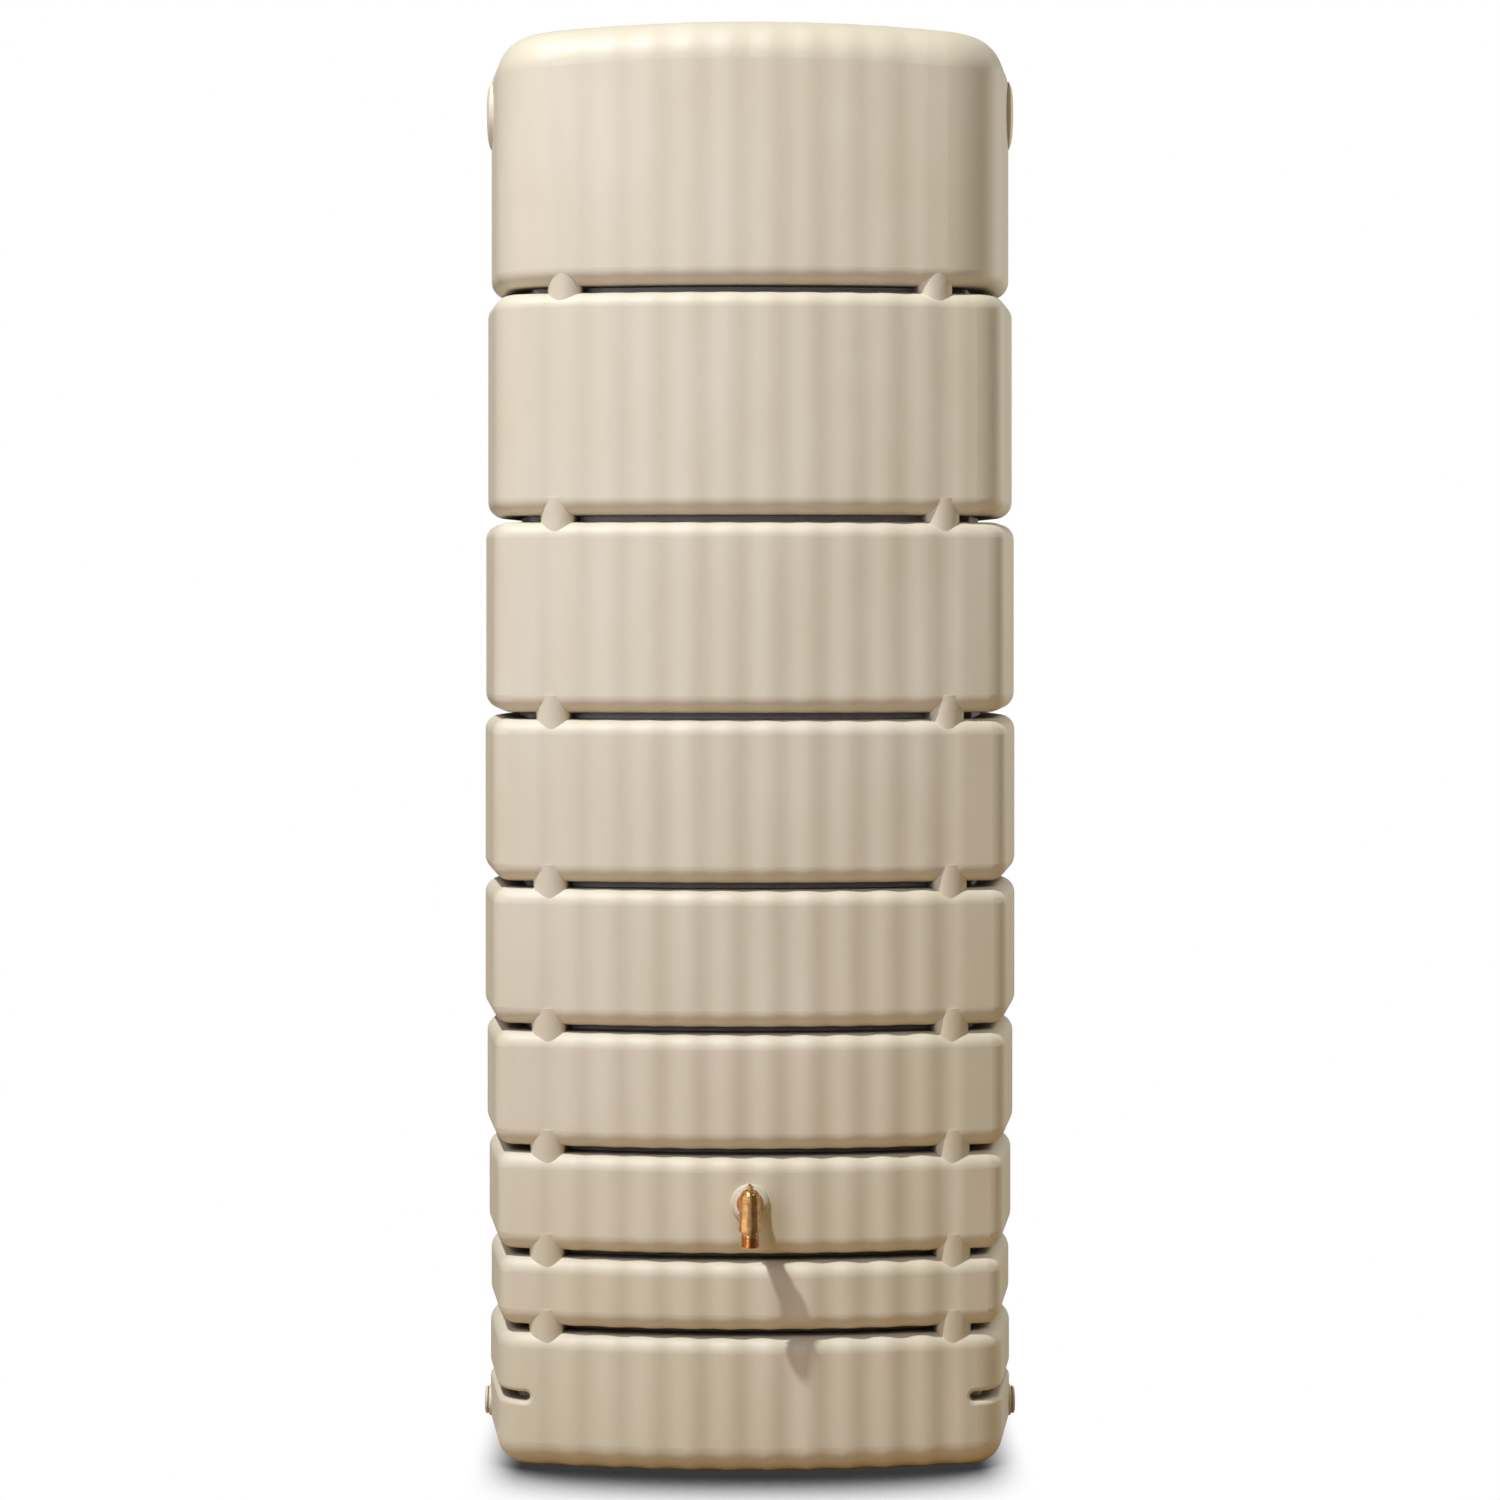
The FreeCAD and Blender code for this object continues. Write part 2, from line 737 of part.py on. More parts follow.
def tap_spout_seal():
    return ring(spout_shoulder_radius - seat_play, cavity_radius + seat_play,
                barrel_bottom, barrel_bottom + spout_seal_thickness, barrel_axis)


def tap_stem_packing():
    return ring(packing_radius - stem_play, stem_radius + stem_play,
                packing_bottom, packing_bottom + packing_height, barrel_axis)


def tap_stem_washer():
    return ring(stem_flange_radius, stem_radius + stem_play, stem_washer_foot, cavity_top, barrel_axis)


def tap_bonnet():
    """Dome nut that screws over the gland neck and presses on the packing."""
    nose = packing_radius - seat_play
    bore = stem_radius + seat_play
    rim_top = barrel_top + dome_rim_height
    top = barrel_top + dome_height
    roof = gland_neck_top + dome_inner_gap
    via = (dome_radius - dome_shoulder, (rim_top + top) / 2 + dome_shoulder)
    return turned([(bore, packing_bottom + packing_height), (nose, packing_bottom + packing_height),
                   (nose, roof), (gland_neck_radius + thread_clearance, roof),
                   (gland_neck_radius + thread_clearance, barrel_top), (dome_rim_radius, barrel_top),
                   (dome_rim_radius, rim_top), (dome_radius, rim_top), (dome_flat_radius, top, *via),
                   (bore, top)], barrel_axis)


# Tap: what turns with the handle


def upright(width, length, low, high):
    """A square-edged bar on the barrel's axis: width across, length from front to back."""
    bar = Part.makeBox(width, length, high - low, V(-width / 2, -length / 2, low))
    bar.Placement = barrel_axis
    return bar


def tap_ball():
    """Ball with an elbow bore from the tank side to the foot and a slot for the stem."""
    ball = Part.makeSphere(ball_radius)
    ball.Placement = barrel_axis
    elbow = Part.makeSphere(ball_bore_radius)
    elbow.Placement = barrel_axis
    slot_width = tang_width + 2 * tang_play
    return ball.cut([
        elbow,
        disc(ball_bore_radius, 0, ball_radius, inlet_axis),
        disc(ball_bore_radius, -ball_radius, 0, barrel_axis),
        upright(slot_width, 2 * ball_radius, ball_radius - tang_depth, ball_radius),
    ])


def tap_stem():
    """Stem with a tang for the ball, a thrust flange and a square for the handle."""
    stem = turned([(0, stem_foot), (stem_flange_radius, stem_foot), (stem_flange_radius, stem_washer_foot),
                   (stem_radius, stem_washer_foot), (stem_radius, hub_bottom), (0, hub_bottom)], barrel_axis)
    tang = upright(tang_width, tang_length, ball_radius - tang_depth + ball_gap, stem_foot)
    square = upright(stem_square, stem_square, hub_bottom, square_top)
    return stem.fuse([tang, square]).cut(disc(screw_radius + screw_play, hub_top - screw_length - ball_gap,
                                              square_top, barrel_axis))


def tap_handle():
    """Wing handle: a curved blade across a round hub, seen edge-on from the front."""
    tip_inner = wing_reach - wing_tip_width
    blade = Part.Face(Part.Wire([
        edge([V(0, -wing_reach, wing_bottom), V(0, 0, wing_top), V(0, wing_reach, wing_bottom)]),
        edge([V(0, wing_reach, wing_bottom), V(0, tip_inner, wing_bottom)]),
        edge([V(0, tip_inner, wing_bottom), V(0, 0, wing_top - wing_web), V(0, -tip_inner, wing_bottom)]),
        edge([V(0, -tip_inner, wing_bottom), V(0, -wing_reach, wing_bottom)]),
    ]))
    blade.translate(V(-wing_thickness / 2, 0, 0))
    blade = blade.extrude(V(wing_thickness, 0, 0))
    rims = [item for item in blade.Edges if item.BoundBox.XLength < wing_thickness / 2]
    blade = blade.makeFillet(wing_edge_radius, rims)
    blade.Placement = barrel_axis
    hub = disc(hub_radius, hub_bottom, hub_top, barrel_axis)
    hole = upright(stem_square + 2 * screw_play, stem_square + 2 * screw_play, hub_bottom, square_top)
    return hub.fuse(blade).cut([
        hole,
        disc(screw_radius + seat_play, hub_bottom, hub_top, barrel_axis),
        disc(screw_head_radius + screw_head_gap, hub_top, hub_top + merge, barrel_axis),
        disc(hub_radius, hub_bottom - merge, hub_bottom, barrel_axis),
    ])


def tap_handle_screw():
    top = hub_top + screw_head_height
    screw = turned([(0, hub_top - screw_length), (screw_radius, hub_top - screw_length),
                    (screw_radius, hub_top), (screw_head_radius, hub_top), (screw_head_radius, top),
                    (0, top)], barrel_axis)
    return screw.cut(upright(2 * screw_head_radius, screw_slot_width, top - screw_slot_depth, top))


# Files

pieces = {
    "tank_body": tank_body(),
    "inlet_lid": inlet_lid(),
    "lid_gasket": lid_gasket(),
    "front_port_insert": port_insert(0),
    "port_insert_left": port_insert(-1),
    "port_insert_right": port_insert(1),
    "side_plug_left": side_plug(-1),
    "side_plug_right": side_plug(1),
    "side_plug_seal_left": side_plug_seal(-1),
    "side_plug_seal_right": side_plug_seal(1),
    "tap_wall_seal": tap_wall_seal(),
    "tap_body": tap_body(),
    "tap_inlet_seat": tap_inlet_seat(),
    "tap_outlet_seat": tap_outlet_seat(),
    "tap_outlet_spout": tap_outlet_spout(),
    "tap_spout_seal": tap_spout_seal(),
    "tap_ball": tap_ball(),
    "tap_stem": tap_stem(),
    "tap_stem_washer": tap_stem_washer(),
    "tap_stem_packing": tap_stem_packing(),
    "tap_bonnet": tap_bonnet(),
    "tap_handle": tap_handle(),
    "tap_handle_screw": tap_handle_screw(),
}

os.makedirs("parts", exist_ok=True)
for name, shape in pieces.items():
    solids = shape.Solids
    piece = solids[0] if len(solids) == 1 else shape
    piece.exportStep("parts/" + name + ".step")
    state = "valid" if shape.isValid() else "NOT VALID"
    print(name, len(solids), "solid", round(shape.Volume), "mm3", state)
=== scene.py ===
# %% [markdown]
# A slimline water tank in Blender
#
# The object is a tall, slim rainwater tank of blow-moulded plastic with a small brass tap.
# Its solid pieces come in as a fixed frame, each with its place in its mesh, in metres.
# This file gives every piece its finish, models the threaded outlet of the tap,
# and sets up a plain studio with the camera where the photographer stood.

# %% Load the frame
import json
import math

import bpy
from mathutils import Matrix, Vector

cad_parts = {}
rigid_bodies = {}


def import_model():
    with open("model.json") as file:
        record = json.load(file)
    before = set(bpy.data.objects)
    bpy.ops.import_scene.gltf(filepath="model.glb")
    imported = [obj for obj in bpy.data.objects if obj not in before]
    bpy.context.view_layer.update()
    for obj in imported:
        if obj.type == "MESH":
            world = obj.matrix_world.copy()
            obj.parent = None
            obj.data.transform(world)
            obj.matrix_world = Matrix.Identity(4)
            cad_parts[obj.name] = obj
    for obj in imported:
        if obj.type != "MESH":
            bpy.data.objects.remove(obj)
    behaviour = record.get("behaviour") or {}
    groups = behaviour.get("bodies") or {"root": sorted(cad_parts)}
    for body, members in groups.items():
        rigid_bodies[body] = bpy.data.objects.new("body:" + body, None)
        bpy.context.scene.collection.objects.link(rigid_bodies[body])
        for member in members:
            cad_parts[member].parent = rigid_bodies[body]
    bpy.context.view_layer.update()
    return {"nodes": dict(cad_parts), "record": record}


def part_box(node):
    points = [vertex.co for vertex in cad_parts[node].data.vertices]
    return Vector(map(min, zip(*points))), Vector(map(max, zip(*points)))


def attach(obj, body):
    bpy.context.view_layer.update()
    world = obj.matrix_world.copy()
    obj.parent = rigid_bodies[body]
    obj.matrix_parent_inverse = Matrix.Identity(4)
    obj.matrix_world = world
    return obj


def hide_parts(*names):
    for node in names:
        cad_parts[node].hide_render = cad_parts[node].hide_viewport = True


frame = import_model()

nodes = frame["nodes"]
print("pieces in the frame:", len(nodes))

# %% [markdown]
# Helpers
#
# Colours are written as the hex values that a paint program shows, in sRGB.
# Shaders work in linear light, so one function converts them.
# A second helper adds one shader node with its settings and its links, which keeps
# each material below short enough to read as a recipe.

# %% Colours and shader nodes
millimetre = 0.001


def linear(hex_colour):
    """The linear colour, with alpha, of an sRGB hex value such as "C8B99C"."""
    values = [int(hex_colour[place:place + 2], 16) / 255 for place in (0, 2, 4)]
    turned = [value / 12.92 if value <= 0.04045 else ((value + 0.055) / 1.055) ** 2.4
              for value in values]
    return (*turned, 1.0)


def add_node(tree, kind, links=None, settings=None, **inputs):
    """One shader node: settings are options, inputs socket values, links the sockets that feed it."""
    node = tree.nodes.new(kind)
    for name, value in (settings or {}).items():
        setattr(node, name, value)
    for name, value in inputs.items():
        node.inputs[name.replace("_", " ")].default_value = value
    for name, source in (links or {}).items():
        tree.links.new(source, node.inputs[name])
    return node


def new_material(name):
    """A material with an empty tree, its shader and its output."""
    material = bpy.data.materials.new(name)
    material.use_nodes = True
    tree = material.node_tree
    tree.nodes.clear()
    shader = add_node(tree, "ShaderNodeBsdfPrincipled")
    output = add_node(tree, "ShaderNodeOutputMaterial")
    tree.links.new(shader.outputs["BSDF"], output.inputs["Surface"])
    return material, tree, shader


print("helpers ready")

# %% [markdown]
# Blow-moulded polyethylene
#
# High-density polyethylene is a soft, waxy plastic with an IOR of about 1.54.
# Blow moulding presses it against a sand-blasted steel mould, which leaves a satin skin:
# no sharp reflections, a fine grain, and a broad soft glow on every rounded edge.
# Faint clouds and vertical flow streaks come from the way the hot tube of plastic stretches.
# Deep in the slots the colour turns dark brown: a painted shade, drawn from how little open space each
# point sees.
# The two halves of the mould leave a fine seam up both sides and over the top.
# The grain is really about 0.3 mm and the seam 0.5 mm wide. Both are too fine to show,
# so the grain is drawn at 1.5 mm and the seam 1.4 mm wide.

# %% Satin polyethylene
mould_plane_y = (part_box("inlet_lid")[0][1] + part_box("inlet_lid")[1][1]) / 2
seam_half_width = 0.7 * millimetre
seam_height = 0.4 * millimetre
slot_reach = 30 * millimetre


def satin_polyethylene(name, body_colour, pale_colour, recess_shade_colour, seam_rise):
    material, tree, shader = new_material(name)
    place = add_node(tree, "ShaderNodeTexCoord").outputs["Object"]
    stretched = add_node(tree, "ShaderNodeMapping", {"Vector": place}, Scale=(1.0, 1.0, 0.18))
    streaks = add_node(tree, "ShaderNodeTexNoise", {"Vector": stretched.outputs["Vector"]},
                       Scale=14.0, Detail=3.0, Roughness=0.55)
    clouds = add_node(tree, "ShaderNodeTexNoise", {"Vector": place}, Scale=5.0, Detail=2.0)
    both = add_node(tree, "ShaderNodeMath", {0: streaks.outputs["Fac"], 1: clouds.outputs["Fac"]},
                    {"operation": "MULTIPLY"})
    share = add_node(tree, "ShaderNodeMapRange", {"Value": both.outputs["Value"]},
                     From_Min=0.12, From_Max=0.42)
    clean = add_node(tree, "ShaderNodeMixRGB", {"Fac": share.outputs["Result"]},
                     Color1=linear(body_colour), Color2=linear(pale_colour))
    # Painted shade: the colour darkens towards the recess shade colour where a point sees little open
    # space, deep in the slots.
    openness = add_node(tree, "ShaderNodeAmbientOcclusion", None, {"samples": 8, "only_local": True},
                        Distance=slot_reach)
    recess_shade = add_node(tree, "ShaderNodeMapRange", {"Value": openness.outputs["AO"]},
                    From_Min=0.05, From_Max=0.38, To_Min=1.0, To_Max=0.0)
    colour = add_node(tree, "ShaderNodeMixRGB",
                      {"Fac": recess_shade.outputs["Result"], "Color1": clean.outputs["Color"]},
                      Color2=linear(recess_shade_colour))
    tree.links.new(colour.outputs["Color"], shader.inputs["Base Color"])

    sheen_map = add_node(tree, "ShaderNodeMapRange", {"Value": clouds.outputs["Fac"]},
                         To_Min=0.50, To_Max=0.58)
    tree.links.new(sheen_map.outputs["Result"], shader.inputs["Roughness"])
    shader.inputs["IOR"].default_value = 1.54

    grain = add_node(tree, "ShaderNodeTexNoise", {"Vector": place}, Scale=650.0, Detail=2.0)
    grain_bump = add_node(tree, "ShaderNodeBump", {"Height": grain.outputs["Fac"]},
                          Strength=0.35, Distance=0.2 * millimetre)
    waves = add_node(tree, "ShaderNodeTexNoise", {"Vector": stretched.outputs["Vector"]},
                     Scale=9.0, Detail=1.0)
    wave_bump = add_node(tree, "ShaderNodeBump",
                         {"Height": waves.outputs["Fac"], "Normal": grain_bump.outputs["Normal"]},
                         Strength=0.25, Distance=2 * millimetre)
    parts = add_node(tree, "ShaderNodeSeparateXYZ", {"Vector": place})
    aside = add_node(tree, "ShaderNodeMath", {0: parts.outputs["Y"]}, {"operation": "SUBTRACT"})
    aside.inputs[1].default_value = mould_plane_y
    off = add_node(tree, "ShaderNodeMath", {0: aside.outputs["Value"]}, {"operation": "ABSOLUTE"})
    ridge = add_node(tree, "ShaderNodeMapRange", {"Value": off.outputs["Value"]},
                     {"interpolation_type": "SMOOTHSTEP"},
                     From_Min=0.0, From_Max=seam_half_width, To_Min=1.0, To_Max=0.0)
    seam_bump = add_node(tree, "ShaderNodeBump",
                         {"Height": ridge.outputs["Result"], "Normal": wave_bump.outputs["Normal"]},
                         Strength=1.0, Distance=seam_rise)
    tree.links.new(seam_bump.outputs["Normal"], shader.inputs["Normal"])
    return material


# The third colour of each plastic is its painted shade deep in the recesses.
shell_plastic = satin_polyethylene("blow_moulded_polyethylene_sand",
                                   "D2C7A9", "DAD0B6", "1C150E", seam_height)
lid_plastic = satin_polyethylene("moulded_polyethylene_lid", "D0C5A8", "D7CDB3", "8C8069", 0.0)
plug_plastic = satin_polyethylene("moulded_polyethylene_plug", "CFC3A5", "D5CAAF", "8C8069", 0.0)
print("plastics made:", shell_plastic.name, lid_plastic.name, plug_plastic.name)

# %% [markdown]
# Turned brass
#
# The tap is cast in brass, turned on a lathe and lightly polished.
# Brass is a metal, so its colour is in its reflections: warm yellow where it mirrors
# the lamps and brown where it mirrors the dark. Handling and rain leave a dull brown film
# in patches a few millimetres across.
# Turning leaves fine rings round the vertical axis, drawn as bands about 0.7 mm apart,
# because the real ones, 0.1 mm apart, are too fine to show.

# %% Brass
dullness_spread = 0.06


def turned_brass(name, body_colour, dull_colour, roughness):
    material, tree, shader = new_material(name)
    place = add_node(tree, "ShaderNodeTexCoord").outputs["Object"]
    tarnish = add_node(tree, "ShaderNodeTexNoise", {"Vector": place}, Scale=110.0, Detail=4.0)
    share = add_node(tree, "ShaderNodeMapRange", {"Value": tarnish.outputs["Fac"]},
                     From_Min=0.38, From_Max=0.78)
    colour = add_node(tree, "ShaderNodeMixRGB", {"Fac": share.outputs["Result"]},
                      Color1=linear(body_colour), Color2=linear(dull_colour))
    tree.links.new(colour.outputs["Color"], shader.inputs["Base Color"])
    shader.inputs["Metallic"].default_value = 1.0
    spread = add_node(tree, "ShaderNodeMapRange", {"Value": tarnish.outputs["Fac"]},
                      To_Min=roughness - dullness_spread, To_Max=roughness + dullness_spread)
    tree.links.new(spread.outputs["Result"], shader.inputs["Roughness"])
    rings = add_node(tree, "ShaderNodeTexWave", {"Vector": place},
                     {"bands_direction": "Z"}, Scale=450.0, Distortion=1.5, Detail=2.0)
    bump = add_node(tree, "ShaderNodeBump", {"Height": rings.outputs["Fac"]},
                    Strength=0.12, Distance=0.1 * millimetre)
    tree.links.new(bump.outputs["Normal"], shader.inputs["Normal"])
    return material


tap_brass = turned_brass("turned_brass_tap", "E4AF74", "AE7D45", 0.20)
insert_brass = turned_brass("machined_brass_insert", "D8B070", "C79C5C", 0.34)
print("brasses made:", tap_brass.name, insert_brass.name)

# %% [markdown]
# Rubber, fluoropolymer and steel
#
# The sealing rings are rubber: dark or white, dull, and slightly dusty.
# The valve seats are white fluoropolymer, which is slippery and a little glossy.
# The handle screw is zinc-plated steel, whose crystals show as a faint spangle.

# %% Small materials


def moulded_rubber(name, body_colour, dust_colour, roughness):
    material, tree, shader = new_material(name)
    place = add_node(tree, "ShaderNodeTexCoord").outputs["Object"]
    dust = add_node(tree, "ShaderNodeTexNoise", {"Vector": place}, Scale=220.0, Detail=3.0)
    share = add_node(tree, "ShaderNodeMapRange", {"Value": dust.outputs["Fac"]},
                     From_Min=0.4, From_Max=0.8)
    colour = add_node(tree, "ShaderNodeMixRGB", {"Fac": share.outputs["Result"]},
                      Color1=linear(body_colour), Color2=linear(dust_colour))
    tree.links.new(colour.outputs["Color"], shader.inputs["Base Color"])
    shader.inputs["Roughness"].default_value = roughness
    shader.inputs["IOR"].default_value = 1.52
    bump = add_node(tree, "ShaderNodeBump", {"Height": dust.outputs["Fac"]},
                    Strength=0.2, Distance=0.2 * millimetre)
    tree.links.new(bump.outputs["Normal"], shader.inputs["Normal"])
    return material


def zinc_steel(name):
    material, tree, shader = new_material(name)
    place = add_node(tree, "ShaderNodeTexCoord").outputs["Object"]
    spangle = add_node(tree, "ShaderNodeTexNoise", {"Vector": place}, Scale=400.0, Detail=2.0)
    share = add_node(tree, "ShaderNodeMapRange", {"Value": spangle.outputs["Fac"]},
                     From_Min=0.3, From_Max=0.7)
    colour = add_node(tree, "ShaderNodeMixRGB", {"Fac": share.outputs["Result"]},
                      Color1=linear("B9B7B0"), Color2=linear("D0CEC8"))
    tree.links.new(colour.outputs["Color"], shader.inputs["Base Color"])
    shader.inputs["Metallic"].default_value = 1.0
    shader.inputs["Roughness"].default_value = 0.32
    return material


seal_white = moulded_rubber("white_sealing_rubber", "E4DFD2", "D8D2C2", 0.45)
seal_black = moulded_rubber("black_sealing_rubber", "1C1B1A", "2E2C29", 0.6)
seat_white = moulded_rubber("white_fluoropolymer", "ECEAE4", "E2DFD8", 0.32)
screw_steel = zinc_steel("zinc_plated_steel")
print("small materials made")

# %% [markdown]
# Dressing the frame
#
# Each solid of the frame keeps its shape and gets the material of its slot.
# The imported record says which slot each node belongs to, so one loop does them all.

# %% Give each solid its material
finish_of = {
    "shell_plastic": shell_plastic,
    "lid_plastic": lid_plastic,
    "plug_plastic": plug_plastic,
    "tap_brass": tap_brass,
    "insert_brass": insert_brass,
    "screw_steel": screw_steel,
    "seal_white": seal_white,
    "seal_black": seal_black,
    "seat_white": seat_white,
}
slot_of = {item["node"]: item["material_slot"] for item in frame["record"]["subparts"]}
for name, node in nodes.items():
    node.data.materials.clear()
    node.data.materials.append(finish_of[slot_of[name]])
    for face in node.data.polygons:
        face.material_index = 0
print("dressed:", len(nodes), "solids")

# %% [markdown]
# The threaded spout
#
# The tap's outlet is a short brass spout with a 3/4 inch pipe thread, on which a hose union
# screws. In the solid the thread is a smooth cylinder, so the spout is modelled here anew.
# It could be a stack of rings, but a real thread is one ridge that climbs round the spout,
# so a single tooth is wound down the root cylinder by a Screw modifier at the real pitch.
# The body under it starts as a circle at the bore and is extruded and widened
# stop by stop along its profile, the way a lathe tool would follow it.

# %% The body of the spout
spout_low, spout_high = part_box("tap_outlet_spout")
tap_y = (spout_low[1] + spout_high[1]) / 2
spout_bottom = spout_low[2]
spout_top = spout_high[2]
bore_radius = 8.0 * millimetre
screw_radius = 11.45 * millimetre
shoulder_radius = 13.0 * millimetre
neck_radius = 12.2 * millimetre
root_radius = 12.05 * millimetre
crest_radius = 13.2 * millimetre
barrel_foot = spout_bottom + 22.5 * millimetre
shoulder_foot = barrel_foot - 1.2 * millimetre
neck_middle = shoulder_foot - 2.5 * millimetre
thread_head = neck_middle - 2.5 * millimetre
rim_height = 0.8 * millimetre
sides_round = 72
spout_profile = (
    (screw_radius, spout_top),
    (screw_radius, barrel_foot),
    (shoulder_radius, barrel_foot),
    (shoulder_radius, shoulder_foot),
    (neck_radius, shoulder_foot - 1.1 * millimetre),
    (neck_radius, neck_middle),
    (neck_radius, thread_head + 0.8 * millimetre),
    (root_radius + 0.5 * millimetre, thread_head),
    (root_radius, thread_head - 0.6 * millimetre),
    (root_radius, spout_bottom + rim_height),
    (root_radius - 0.4 * millimetre, spout_bottom),
    (bore_radius, spout_bottom),
    (bore_radius, spout_top),
)

bpy.ops.object.select_all(action="DESELECT")
bpy.ops.mesh.primitive_circle_add(vertices=sides_round, radius=bore_radius,
                                  location=(0.0, 0.0, spout_top))
spout = bpy.context.object
spout.name = "threaded_spout"
bpy.ops.object.mode_set(mode="EDIT")
bpy.ops.mesh.select_all(action="SELECT")
radius, height = bore_radius, spout_top
for next_radius, next_height in spout_profile:
    bpy.ops.mesh.extrude_edges_move(TRANSFORM_OT_translate={"value": (0.0, 0.0, next_height - height)})
    widen = next_radius / radius
    bpy.ops.transform.resize(value=(widen, widen, 1.0), center_override=(0.0, 0.0, next_height))
    radius, height = next_radius, next_height
bpy.ops.mesh.select_all(action="SELECT")
bpy.ops.mesh.remove_doubles(threshold=0.01 * millimetre)
bpy.ops.mesh.normals_make_consistent(inside=False)
bpy.ops.object.mode_set(mode="OBJECT")
bpy.ops.object.transform_apply(location=True, rotation=True, scale=True)
print("spout body:", len(spout.data.polygons), "faces")

# %% [markdown]
# The thread on the spout
#
# The tooth is a flat circle of four corners, squeezed to the height of the thread and wound
# eight turns down the root. Its ends are closed, and it is joined to the body of the spout.
# The joined piece takes the place of the plain spout and rides with the tank.

# %% The thread
pitch = 1.814 * millimetre
turns = 8
steps_round = 48
tooth_centre = 12.3 * millimetre
tooth_height = crest_radius - tooth_centre
tooth_half_width = 0.82 * millimetre
thread_start = thread_head - 0.9 * millimetre

bpy.ops.object.select_all(action="DESELECT")
bpy.ops.mesh.primitive_circle_add(vertices=4, radius=tooth_half_width,
                                  location=(tooth_centre, 0.0, thread_start),
                                  rotation=(math.radians(90.0), 0.0, 0.0))
thread = bpy.context.object
bpy.ops.object.transform_apply(location=True, rotation=True, scale=True)
bpy.ops.object.mode_set(mode="EDIT")
bpy.ops.mesh.select_all(action="SELECT")
bpy.ops.transform.resize(value=(tooth_height / tooth_half_width, 1.0, 1.0),
                         center_override=(tooth_centre, 0.0, thread_start))
bpy.ops.object.mode_set(mode="OBJECT")
winding = thread.modifiers.new("winding", "SCREW")
winding.axis = "Z"
winding.angle = math.radians(360.0)
winding.screw_offset = -pitch
winding.iterations = turns
winding.steps = steps_round
winding.render_steps = steps_round
bpy.ops.object.modifier_apply(modifier="winding")
bpy.ops.object.mode_set(mode="EDIT")
bpy.ops.mesh.select_all(action="SELECT")
bpy.ops.mesh.fill_holes(sides=4)
bpy.ops.mesh.select_all(action="SELECT")
bpy.ops.mesh.normals_make_consistent(inside=False)
bpy.ops.object.mode_set(mode="OBJECT")

bpy.ops.object.select_all(action="DESELECT")
thread.select_set(True)
spout.select_set(True)
bpy.context.view_layer.objects.active = spout
bpy.ops.object.join()
spout.location = (0.0, tap_y, 0.0)
bpy.ops.object.transform_apply(location=True, rotation=True, scale=True)
bpy.ops.object.shade_smooth_by_angle(angle=math.radians(32.0))
spout.data.materials.clear()
spout.data.materials.append(tap_brass)
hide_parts("tap_outlet_spout")
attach(spout, "tank")
print("threaded spout:", len(spout.data.polygons), "faces,", turns, "turns of thread")

# %% [markdown]
# The studio
#
# Brass and plastic mirror the floor and the walls. In a studio these are bright on the side
# of the soft box, dark on the other side in front, where the black flags stand, and middling
# elsewhere, which is what gives the round tap its stripes. One list of bearings, in degrees
# from straight ahead, holds that for the floor and the walls alike.

# %% What the gloss mirrors
bearings = (
    (-180, 0.40), (-100, 0.40), (-82, 1.25), (-34, 1.25), (-20, 0.60), (6, 0.50),
    (16, 0.16), (76, 0.16), (92, 0.60), (130, 0.50), (180, 0.40),
)


def bearing_share(tree, parts):
    """The bearing of a place or a way seen from the tank, as a share of a full turn."""
    to_front = add_node(tree, "ShaderNodeMath", {0: parts.outputs["Y"]}, {"operation": "MULTIPLY"})
    to_front.inputs[1].default_value = -1.0
    bearing = add_node(tree, "ShaderNodeMath", {0: parts.outputs["X"], 1: to_front.outputs["Value"]},
                       {"operation": "ARCTAN2"})
    share = add_node(tree, "ShaderNodeMapRange", {"Value": bearing.outputs["Value"]},
                     From_Min=-math.pi, From_Max=math.pi)
    return share.outputs["Result"]


def paint_bearings(ramp):
    """Gives a colour ramp one stop for each bearing of the list."""
    while len(ramp.elements) < len(bearings):
        ramp.elements.new(0.5)
    for point, (degrees, grey) in zip(ramp.elements, bearings):
        point.position = (degrees + 180) / 360
        point.color = (grey, grey, grey, 1.0)


print("bearings:", len(bearings))

# %% [markdown]
# The floor
#
# The floor is pale and plain. Where the camera sees it, it is white, with a painted shadow:
# a soft dark pool under the object keeps it on the ground. The pool is drawn from how much of
# the sky each point of the floor can see, and it is painted lighter beside the foot by its distance from
# the middle.

# %% Floor
floor_size = 40.0
shadow_pool_reach = 0.22
shadow_pool_darkest = 0.04
shadow_pool_curve = 1.4
shadow_pool_fade_start = 0.325
shadow_pool_fade_end = 0.405


